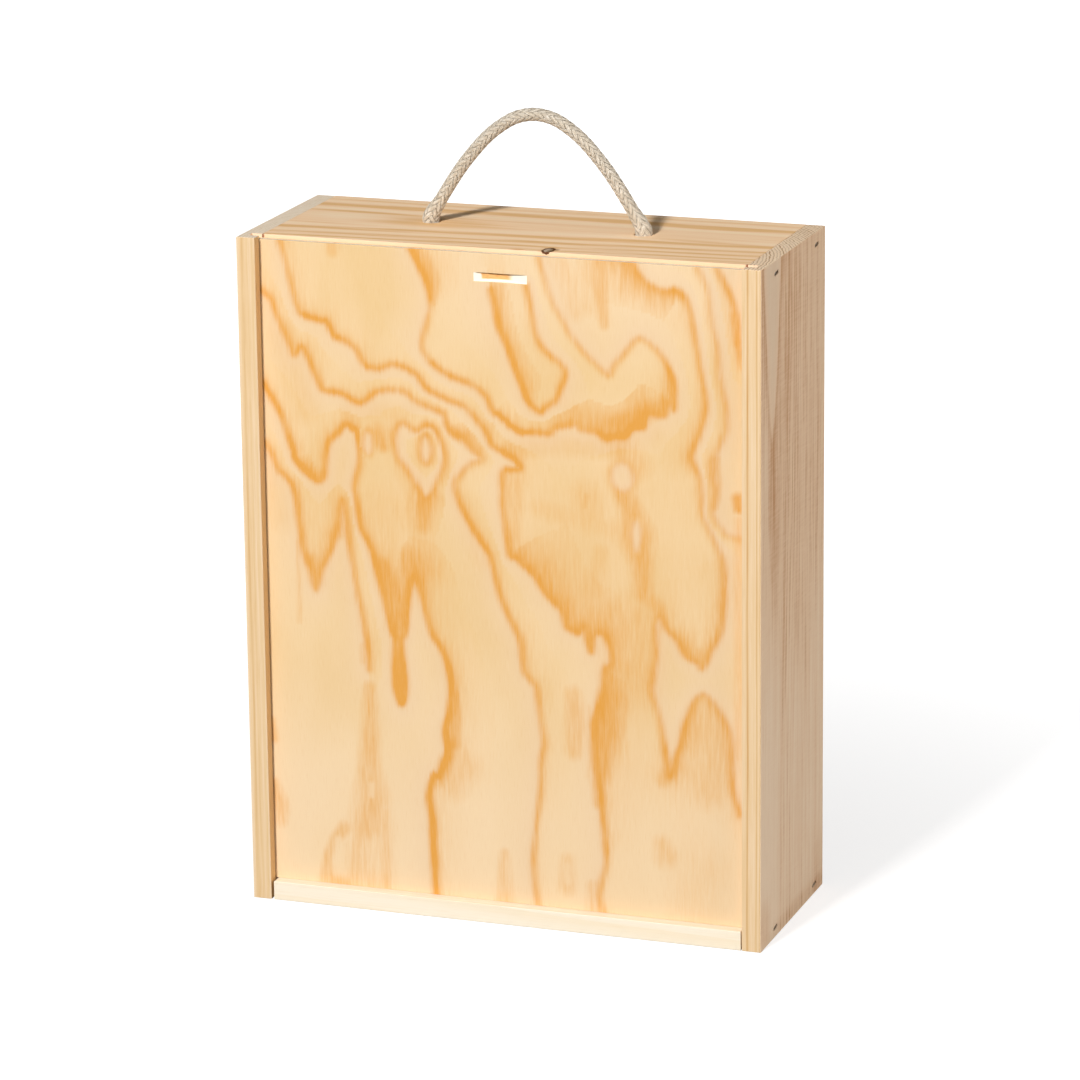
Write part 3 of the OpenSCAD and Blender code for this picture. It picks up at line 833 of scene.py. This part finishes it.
def ease_edges(piece, width, wear, seed):
    """Eases a board's sharp edges, unevenly by as much as wear, as sanding leaves them; cuts stay crisp."""
    work_on(piece)
    bpy.ops.object.mode_set(mode="EDIT")
    low = [min(v.co[k] for v in piece.data.vertices) for k in range(3)]
    high = [max(v.co[k] for v in piece.data.vertices) for k in range(3)]
    long_way = max(range(3), key=lambda k: high[k] - low[k])
    normal = [1.0 if k == long_way else 0.0 for k in range(3)]
    for place in np.arange(low[long_way] + slice_gap / 2, high[long_way] - slice_gap / 4, slice_gap):
        bpy.ops.mesh.select_all(action="SELECT")
        point = [place if k == long_way else 0.0 for k in range(3)]
        bpy.ops.mesh.bisect(plane_co=point, plane_no=normal)
    bpy.ops.object.mode_set(mode="OBJECT")
    chance = np.random.default_rng(seed)
    shape = bmesh.new()
    shape.from_mesh(piece.data)
    weights = []
    for edge in shape.edges:
        middle = (edge.verts[0].co + edge.verts[1].co) / 2
        rims = sum(min(abs(middle[k] - low[k]), abs(middle[k] - high[k])) < 1e-5 for k in range(3))
        sharp = len(edge.link_faces) == 2 and edge.calc_face_angle() > math.radians(50)
        share = 1.0 if rims > 1 else cut_rim_share
        weights.append(chance.uniform(1 - wear, 1.0) * share if sharp else 0.0)
    shape.free()
    eased_by = piece.data.attributes.new("bevel_weight_edge", "FLOAT", "EDGE")
    eased_by.data.foreach_set("value", np.array(weights, np.float32))
    ease = piece.modifiers.new("arris", "BEVEL")
    ease.width = width
    ease.segments = 2
    ease.limit_method = "WEIGHT"
    bpy.ops.object.modifier_apply(modifier="arris")


def from_heart(across, up):
    """How far a place lies from the tree's heart, from its two ways across the grain."""
    return maths("SQRT", plus(times(across, across), times(up, up)))


def year_strength(ring):
    """A strength by chance for each year's growth."""
    year = maths("FLOOR", ring)
    return add(year.id_data, "TexWhiteNoise", {"W": year}, noise_dimensions="1D").outputs["Value"]


def pine(along, heart, lean, gap, turn, colours):
    """The builder of straight-grained pine: growth rings about the tree's heart, cut as the board is.

    along is the grain's axis; heart and lean are where the heart lies on the other two and how it leans along
    the grain; turn is the side on which a ring is dark; colours are early wood, late wood and fibre.
    """
    across = [k for k in range(3) if k != along]

    def build(tree):
        place = place_on_piece(tree)
        axes = split(place)
        sizes = [0.05] * 3
        sizes[along] = 0.35
        sway = less(grain_noise(place, sizes), 0.5)
        parts = []
        for k in range(2):
            leaning = scaled(axes[along], -lean[k], -heart[k])
            parts.append(plus(axes[across[k]], leaning))
        ring = times(scaled(sway, 0.005, from_heart(*parts)), turn / gap)
        year = maths("FRACT", ring)
        late = between(year, 0.35, 0.97, 0.975, 1.0)
        late = times(late, scaled(year_strength(ring), 0.75, 0.25))
        fibre = wood_fibres(place, along, 0.0003, 0.014)
        streak = wood_fibres(place, along, 0.0014, 0.06)
        early, dark, thread = colours
        colour = overlaid(mixed(late, early, dark), streak, 0.5, 0.75, 0.35, dark)
        colour = overlaid(colour, fibre, 0.52, 0.78, 0.22, thread)
        return colour, scaled(late, 0.6, fibre), 0.00005
    return build


def ramped(value, marks):
    """A level or a colour along a line, straight between given marks: a place and its level or colour."""
    low, high = marks[0][0], marks[-1][0]
    share = add(value.id_data, "MapRange", {"Value": value, "From Min": low, "From Max": high}).outputs[0]
    band = add(value.id_data, "ValToRGB", {"Fac": share})
    stops = band.color_ramp.elements
    for k, (place, level) in enumerate(marks):
        if 0 < k < len(marks) - 1:
            stop = stops.new((place - low) / (high - low))
        else:
            stop = stops[0] if k == 0 else stops[-1]
        stop.color = level if isinstance(level, list) else (level, level, level, 1.0)
    return band.outputs[0]


def striped(value, stripes):
    """The darkness along a line of stripes, whose places are in mm."""
    return ramped(value, [(at * mm, shade) for at, shade in stripes])


def soft_spot(place, middle, half):
    """One soft round or long spot: 1 in its middle, 0 at half as far again as its half sizes."""
    return eased(reach(place, middle, half), 1.5, 0.3)


def planed(place, along, dark, colours, streaky=0.55):
    """Planed pine at a darkness: three paints from early to late wood with a fine fibre, and the bump."""
    fibre = wood_fibres(place, along, 0.0003, 0.014)
    streak = less(wood_fibres(place, along, 0.0011, 0.07), 0.5)
    dash = less(wood_fibres(place, along, 0.0006, 0.022), 0.5)
    shade = scaled(streak, streaky, scaled(dash, 0.6 * streaky, dark))
    colour = ramped(shade, [(0.0, colours[0]), (0.5, colours[1]), (1.0, colours[2])])
    colour = overlaid(colour, fibre, 0.5, 0.75, 0.18, colours[2])
    return colour, scaled(dark, 0.6, fibre), 0.00005


def end_grain(sign, colours):
    """The builder of a side's sawn end: growth rings under fine pores and saw marks."""
    def build(tree):
        place = place_on_piece(tree)
        x, y = split(place)[:2]
        wobble = less(grain_noise(place, (0.005, 0.005, 0.05)), 0.5)
        away = from_heart(scaled(x, sign, -end_heart[0]), plus(y, -end_heart[1]))
        ring = maths("DIVIDE", scaled(wobble, 0.0022, away), end_ring_gap)
        year = maths("FRACT", ring)
        late = between(year, 0.45, 0.85, 0.9, 1.0)
        late = times(late, scaled(year_strength(ring), 0.55, 0.45))
        pores = grain_noise(place, [0.0005] * 3, 3.0)
        saw = grain_noise(place, (0.0006, 0.009, 0.0006))
        early, dark, clear = colours
        colour = overlaid(mixed(late, early, dark), pores, 0.48, 0.7, 0.25, dark)
        colour = overlaid(colour, saw, 0.5, 0.75, 0.4, clear)
        return colour, plus(pores, saw), 0.00012
    return build


# Stripes of late wood from front to back, and on the front edge from the outer face inwards
face_stripes = [
    (-63, 0.25), (-30, 0.2), (-18, 0.3), (-14.5, 0.35), (-12.5, 0.55), (-11, 0.5), (-9.5, 0.3), (-7.5, 0.6),
    (-6, 0.3), (-3.5, 0.3), (-2, 0.6), (0, 0.25), (3, 0.55), (4.5, 0.3), (8, 0.5), (9.5, 0.3), (12, 0.45),
    (14, 0.3), (17, 0.5), (19, 0.35), (24, 0.45), (26, 0.3), (29, 0.45), (32, 0.3), (35, 0.4), (38, 0.3),
    (42, 0.5), (45, 0.3), (49, 0.35), (55, 0.35)]
# Brown clouds on the face below and beside the V of heartwood, the last three along the foot as painted shade
# where the board stands on the floor: middle back and up, half sizes in mm, and the darkness that each adds
brown_and_floor_shade_clouds = [
    (-33, 205, 9, 60, 0.3), (-14, 255, 6, 60, 0.1), (-52, 330, 5, 40, 0.1), (-50, 12, 12, 16, 0.45),
    (52, 10, 16, 24, 0.3), (20, 4, 60, 5, 0.3)]
edge_stripes = {
    "left": [(0, 0.1), (1.0, 0.25), (2.0, 0.45), (3.0, 0.65), (4.0, 0.4), (5.5, 0.5), (7.0, 0.3),
             (8.5, 0.45), (10, 0.2)],
    "right": [(0, 0.1), (0.3, 0.3), (0.5, 0.95), (0.8, 0.3), (1.8, 0.35), (2.2, 0.8), (2.7, 0.35), (4.5, 0.3),
              (6.3, 0.4), (6.6, 0.8), (7.2, 0.8), (7.5, 0.4), (9.6, 0.3), (10, 0.1)]}
face_pine = (paint(255, 226, 194), paint(247, 211, 175), paint(210, 158, 116))
edge_pine = (paint(232, 208, 177), paint(220, 188, 143), paint(198, 150, 92))
grey_pine = paint(240, 215, 186)
end_pine = {"left": (paint(246, 228, 204), paint(222, 198, 166), paint(252, 243, 228)),
            "right": (paint(244, 218, 186), paint(176, 132, 92), paint(248, 230, 204))}
end_heart = (0.036, -0.050)
end_ring_gap = 0.0017
v_tip_z = 0.258
v_middle_y = -0.036


def side_grain(side, sign):
    """The builder of a side's long grain: stripes that drift forward at the foot, and a brown V, with painted
    bounce light that lightens the foot, and painted shade along the floor, over the staple slots and, in
    part, on the groove's lip.
    """
    def build(tree):
        place = place_on_piece(tree)
        x, y, z = split(place)
        sway = less(grain_noise(place, (0.03, 0.02, 0.12)), 0.5)
        drift = scaled(eased(z, 0.04, 0.345), 0.012, -0.008)
        drift = times(drift, eased(y, 0.015, 0.0))
        level = scaled(sway, 0.003, less(y, drift))
        dark = striped(level, face_stripes)
        change = grain_noise(place, (0.02, 0.006, 0.09), 1.0)
        dark = times(dark, scaled(change, 1.4, 0.35))
        # Towards the foot the stripes grow a little stronger, and the board is painted lighter there as
        # painted bounce light from the floor.
        foot = eased(z, 0.22, 0.06)
        dark = times(dark, scaled(foot, 0.35, 1.0))
        sawn = grain_noise(place, (0.01, 0.012, 0.0009))
        dark = scaled(less(sawn, 0.5), 0.3, dark)
        beside = maths("ABSOLUTE", less(y, v_middle_y))
        over = scaled(maths("POWER", beside, 1.5), -52.5, less(z, v_tip_z))
        over = scaled(sway, 0.006, over)
        slope = scaled(maths("SQRT", beside), 78.0, 1.0)
        below = maths("DIVIDE", maths("MINIMUM", over, 0.0), times(slope, 0.0075))
        below = times(maths("EXPONENT", below), eased(over, 0.012, -0.008))
        rear_arm = scaled(eased(y, -0.040, -0.030), 0.1, 0.4)
        brown_and_shade = times(below, rear_arm)
        # The clouds along the foot are painted shade where the board stands on the floor.
        for back, up, half_back, half_up, shade in brown_and_floor_shade_clouds:
            middle = (sign * side_outer_x, back * mm, up * mm)
            brown_and_shade = scaled(soft_spot(place, middle, (0.03, half_back * mm, half_up * mm)), shade, brown_and_shade)
        # Painted bounce light: the foot is lighter.
        clear = scaled(foot, -0.42, 0.12)
        dark = plus(plus(dark, brown_and_shade), clear)
        face, bump, depth = planed(place, 2, dark, face_pine, 1.1)
        face = overlaid(face, over, -0.004, 0.06, 0.45, grey_pine)
        # Painted shade in the staple slots: a dark spot over each slot.
        painted_slot_shade = 0.0
        for slot_y, slot_z in staple_places:
            spot = soft_spot(place, (sign * side_outer_x, slot_y, slot_z), (0.004, 0.0031, 0.0010))
            painted_slot_shade = maths("MAXIMUM", spot, painted_slot_shade)
        face = mixed(times(painted_slot_shade, 0.85), face, paint(104, 78, 54))
        inward = scaled(sway, 0.0012, scaled(x, -sign, side_outer_x))
        edge = planed(place, 2, striped(inward, edge_stripes[side]), edge_pine)[0]
        # The lip's inner face, inside the lid's groove, is golden brown, darkened in part as painted shade of
        # the groove.
        lip = times(eased(inward, 0.0096, 0.0099), eased(y, -0.0480, -0.0485))
        face = mixed(lip, face, paint(224, 184, 132))
        front = eased(y, -0.0546, -0.0549)
        return mixed(front, face, edge), bump, depth
    return build


for side, sign in (("left", -1), ("right", 1)):
    low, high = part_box("side_" + side)
    board = box_piece("side_" + side + "_board", low, high)
    inner_x = low.x if sign > 0 else high.x
    for groove, z_low, z_high in ((lid_groove, -cutter_over, high.z + cutter_over),
                                  (back_groove, back_groove_stop, high.z - back_groove_stop)):
        cut_block(board, (inner_x - sign * cutter_over, groove[0], z_low),
                  (sign * groove_floor_x, groove[1], z_high))
    outer_x = high.x if sign > 0 else low.x
    slot_corner = (outer_x - sign * staple_slot_depth, -staple_slot_l / 2, -staple_slot_w / 2)
    far_slot_corner = (outer_x + sign * cutter_over, staple_slot_l / 2, staple_slot_w / 2)
    for slot_y, slot_z in staple_places:
        slot = box_piece("cutter", slot_corner, far_slot_corner)
        slot.rotation_euler = (staple_slope, 0, 0)
        slot.location = (0, slot_y, slot_z)
        bpy.ops.object.transform_apply(location=True, rotation=True, scale=True)
        cut_out(board, slot)
    ease_edges(board, board_arris, wear=0.5, seed=10 + sign)
    long_grain = side_grain(side, sign)
    board.data.materials.append(finished("side_" + side + "_pine", long_grain, roughness=0.7, specular=0.0))
    sawn_end = end_grain(sign, end_pine[side])
    board.data.materials.append(
        finished("side_" + side + "_end_grain", sawn_end, roughness=0.8, specular=0.0))
    for face in board.data.polygons:
        face.material_index = 1 if abs(face.normal.z) > 0.8 else 0
    shade_flat_faces(board)
    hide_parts("side_" + side)
    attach(board, "carcass")

# Top and bottom boards
# Pine boards between the sides, grain across the box. Both hold the dividers in shallow
# housings and the back panel in a groove; the top one is drilled for the rope.
housing_x = 0.04317
housing_w = 0.0046
housing_depth = 0.003
end_groove_depth = 0.0055
rope_hole_r = 0.00475
rope_drill_length = 0.03
board_end_x = 0.1275
top_face_z = 0.350
board_ring_gap = 0.0034
dead_knot = (0.0234, -0.0403, top_face_z)
dead_knot_half = (0.0030, 0.0054, 0.00175)
# Stripes of late wood on the top board from front to back
top_stripes = [
    (-48, 0.6), (-44.5, 0.3), (-41.5, 0.75), (-39, 0.35), (-36.5, 0.4), (-34, 0.75), (-31, 0.35),
    (-28.5, 0.3), (-26, 0.7), (-24, 0.8), (-22, 0.4), (-19.5, 0.1), (-17, 0.35), (-14.5, 0.8), (-12, 0.9),
    (-9.5, 0.55), (-7, 0.15), (-3, 0.1), (2, 0.4), (16, 0.35), (20, 0.45), (24, 0.15), (27, 0.05),
    (30.5, 0.5), (33, 0.85), (36, 0.85), (40, 0.25), (42.5, 0.05), (45, 0.5), (47, 0.6), (50, 0.2),
    (55, 0.4)]
# Broad clouds in them: middle across and back, half sizes in mm, and the darkness that each adds
top_clouds = [
    (-55, 5, 35, 12, 0.4), (85, 1, 30, 3, 0.5), (-100, 20, 30, 2.5, 0.5), (-100, 8, 25, 7, -0.3),
    (85, 30, 25, 3.5, 0.3), (-100, -10.5, 30, 2, 0.4)]
top_pine = (paint(255, 227, 192), paint(252, 215, 174), paint(236, 190, 134))
cream_pine = paint(242, 209, 174)


def top_board_grain(tree):
    """Stripes along the board, a little askew at the front, and a small dead knot in its front arris."""
    place = place_on_piece(tree)
    x, y = split(place)[:2]
    askew = times(eased(y, 0.025, -0.005), -0.075)
    sway = less(grain_noise(place, (0.10, 0.012, 0.03)), 0.5)
    level = scaled(sway, 0.004, scaled(x, askew, y))
    away = reach(place, dead_knot, dead_knot_half)
    level = scaled(maths("EXPONENT", times(away, -0.7)), 0.004, level)
    dark = striped(level, top_stripes)
    change = grain_noise(place, (0.06, 0.004, 0.01), 1.0)
    dark = times(dark, scaled(change, 1.9, 0.3))
    for across, back, half_across, half_back, shade in top_clouds:
        middle = (across * mm, back * mm, top_face_z)
        dark = scaled(soft_spot(place, middle, (half_across * mm, half_back * mm, 0.02)), shade, dark)
    colour, bump, depth = planed(place, 0, dark, top_pine)
    ragged = scaled(grain_noise(place, (0.0010, 0.0016, 0.0007)), 0.5, less(away, 0.25))
    colour = overlaid(colour, ragged, 2.0, 1.0, 0.45, paint(228, 178, 118))
    heart = mixed(eased(x, 0.0222, 0.0250), paint(196, 174, 150), paint(140, 118, 86))
    colour = mixed(eased(ragged, 1.02, 0.94), colour, heart)
    bark = between(ragged, 0.62, 0.78, 1.0, 1.12)
    tail = soft_spot(place, (0.0268, -0.0385, top_face_z), (0.0016, 0.0018, 0.002))
    bark = maths("MINIMUM", scaled(tail, 0.55, bark), 1.0)
    colour = mixed(times(bark, 0.95), colour, paint(92, 54, 32))
    tint = times(soft_spot(place, (0.008, -0.043, top_face_z), (0.004, 0.0015, 0.002)), 0.6)
    colour = mixed(tint, colour, paint(222, 150, 84))
    front = times(eased(y, -0.0437, -0.0443), less(1.0, bark))
    colour = mixed(times(front, 0.8), colour, cream_pine)
    for end_x in (-board_end_x, board_end_x):
        joint = soft_spot(place, (end_x, -0.0445, 0.3491), (0.0011, 0.0012, 0.0016))
        colour = mixed(joint, colour, paint(128, 58, 22))
    return colour, less(bump, times(bark, 3.0)), depth


for place in ("top", "bottom"):
    low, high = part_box(place + "_board")
    board = box_piece(place + "_board_worked", low, high)
    inner_z = low.z if place == "top" else high.z
    inward = -1 if place == "top" else 1
    over_z = inner_z + inward * cutter_over
    cut_block(board, (low.x - cutter_over, back_groove[0], over_z),
              (high.x + cutter_over, back_groove[1], inner_z - inward * end_groove_depth))
    for divider_x in (-housing_x, housing_x):
        cut_block(board, (divider_x - housing_w / 2, low.y - cutter_over, over_z),
                  (divider_x + housing_w / 2, back_groove[0] + cutter_over, inner_z - inward * housing_depth))
    if place == "top":
        for x in (-hole_x, hole_x):
            bpy.ops.object.select_all(action="DESELECT")
            bpy.ops.mesh.primitive_cylinder_add(vertices=64, radius=rope_hole_r, depth=rope_drill_length,
                                                location=(x, rope_y, (low.z + high.z) / 2))
            cut_out(board, bpy.context.object)
    ease_edges(board, board_arris, wear=0.5, seed=20 + inward)
    grain = top_board_grain
    if place == "bottom":
        plain_pine = (top_pine[0], top_pine[2], top_pine[2])
        grain = pine(0, (-0.010, 0.050), (0.02, 0.0), board_ring_gap, -1, plain_pine)
    board.data.materials.append(finished(place + "_board_pine", grain, roughness=0.7, specular=0.0))
    shade_flat_faces(board)
    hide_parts(place + "_board")
    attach(board, "carcass")

# Lid stop rail
# A short pine batten in front of the bottom board, paler than the rest. It closes the front
# at the bottom and the lid stands on it; a saw gap is left at each end.
rail_low, rail_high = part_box("lid_stop_rail")
rail_pine = (paint(240, 228, 207), paint(236, 218, 187), paint(228, 198, 156))
rail_ring_gap = 0.0036
rail_grain = pine(0, (0.03, -0.02), (0.01, 0.004), rail_ring_gap, 1, rail_pine)
rail = box_piece("lid_stop_rail_worked", rail_low, rail_high)
ease_edges(rail, board_arris, wear=0.6, seed=31)
rail.data.materials.append(finished("rail_pine", rail_grain, roughness=0.7, specular=0.0))
shade_flat_faces(rail)
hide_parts("lid_stop_rail")
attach(rail, "carcass")

# Back panel
# The same plywood as the lid, held all round in the grooves of the four boards when the
# box is stapled together.
back_low, back_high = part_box("back_panel")
back = box_piece("back_panel_sheet", back_low, back_high)
ease_edges(back, sheet_arris, wear=0.4, seed=41)
back_ply = peeled_ply(1, (back_low.y, back_high.y), 7.7)
back.data.materials.append(finished("back_veneer", back_ply, roughness=0.6, specular=0.3))
shade_flat_faces(back)
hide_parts("back_panel")
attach(back, "carcass")

# Dividers
# Two thin plywood sheets that part the inside into three bottle bays. They stand in the
# housings of the top and bottom boards.
for side, seed in (("left", 12.3), ("right", 17.9)):
    low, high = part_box("divider_" + side)
    divider = box_piece("divider_" + side + "_sheet", low, high)
    ease_edges(divider, sheet_arris, wear=0.4, seed=51)
    veneer = peeled_ply(0, (low.x, high.x), seed)
    divider.data.materials.append(
        finished("divider_" + side + "_veneer", veneer, roughness=0.6, specular=0.3))
    shade_flat_faces(divider)
    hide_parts("divider_" + side)
    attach(divider, "carcass")

# Staples
# Galvanised wire staples, shot through the sides into the ends of the top and bottom
# boards: two at each corner, with their crowns just under the face.
crown_w = 0.0056
wire_w = 0.0012
wire_t = 0.0009
leg_length = 0.025
wire_bend_r = 0.00022


def galvanised(tree):
    """Dull zinc with a slight mottle and fine drawing marks, its greys darkened as painted shade of the slots
    that the crowns sit in.
    """
    place = place_on_piece(tree)
    mottle = grain_noise(place, [0.0008] * 3)
    marks = grain_noise(place, (0.0001, 0.004, 0.0001))
    # Both greys are darker than bare zinc: painted shade of the slots.
    colour = mixed(eased(mottle, 0.35, 0.65), paint(118, 112, 103), paint(72, 67, 60))
    return colour, marks, 0.00002


staple_finish = finished("galvanised_wire", galvanised, roughness=0.6, specular=0.3, metallic=0.7)


def staple(outer_x, sign, y, z):
    """One staple: a flat bar drawn out into two legs, with rounded bends."""
    bpy.ops.object.select_all(action="DESELECT")
    bpy.ops.mesh.primitive_cube_add(size=1)
    wire = bpy.context.object
    wire.scale = (wire_t, crown_w, wire_w)
    bpy.ops.object.transform_apply(location=True, rotation=True, scale=True)
    bpy.ops.object.mode_set(mode="EDIT")
    for cut_y in (-crown_w / 2 + wire_w, crown_w / 2 - wire_w):
        bpy.ops.mesh.select_all(action="SELECT")
        bpy.ops.mesh.bisect(plane_co=(0, cut_y, 0), plane_no=(0, 1, 0))
    bpy.ops.mesh.select_all(action="DESELECT")
    bpy.ops.object.mode_set(mode="OBJECT")
    for face in wire.data.polygons:
        face.select = face.normal.x < -0.9 and abs(face.center.y) > crown_w / 2 - wire_w
    bpy.ops.object.mode_set(mode="EDIT")
    bpy.ops.mesh.extrude_region_move(TRANSFORM_OT_translate={"value": (wire_t - leg_length, 0, 0)})
    bpy.ops.object.mode_set(mode="OBJECT")
    bend = wire.modifiers.new("bend", "BEVEL")
    bend.width = wire_bend_r
    bend.segments = 3
    bend.limit_method = "ANGLE"
    bpy.ops.object.modifier_apply(modifier="bend")
    turn = Matrix.Rotation(staple_slope, 4, "X")
    if sign < 0:
        turn = turn @ Matrix.Rotation(math.pi, 4, "Z")
    place = Matrix.Translation((outer_x - sign * (crown_sink + wire_t / 2), y, z))
    wire.data.transform(place @ turn)
    return wire


for side, sign in (("left", -1), ("right", 1)):
    outer_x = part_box("side_left")[0].x if sign < 0 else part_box("side_right")[1].x
    for row, z in (("bottom", staple_heights[0]), ("top", staple_heights[1])):
        pair = [staple(outer_x, sign, y, z) for y in staple_rows]
        bpy.ops.object.select_all(action="DESELECT")
        for wire in pair:
            wire.select_set(True)
        bpy.context.view_layer.objects.active = pair[0]
        bpy.ops.object.join()
        staples = bpy.context.object
        staples.name = "staples_" + row + "_" + side + "_wire"
        staples.data.materials.append(staple_finish)
        shade_flat_faces(staples, 40)
        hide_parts("staples_" + row + "_" + side)
        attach(staples, "carcass")
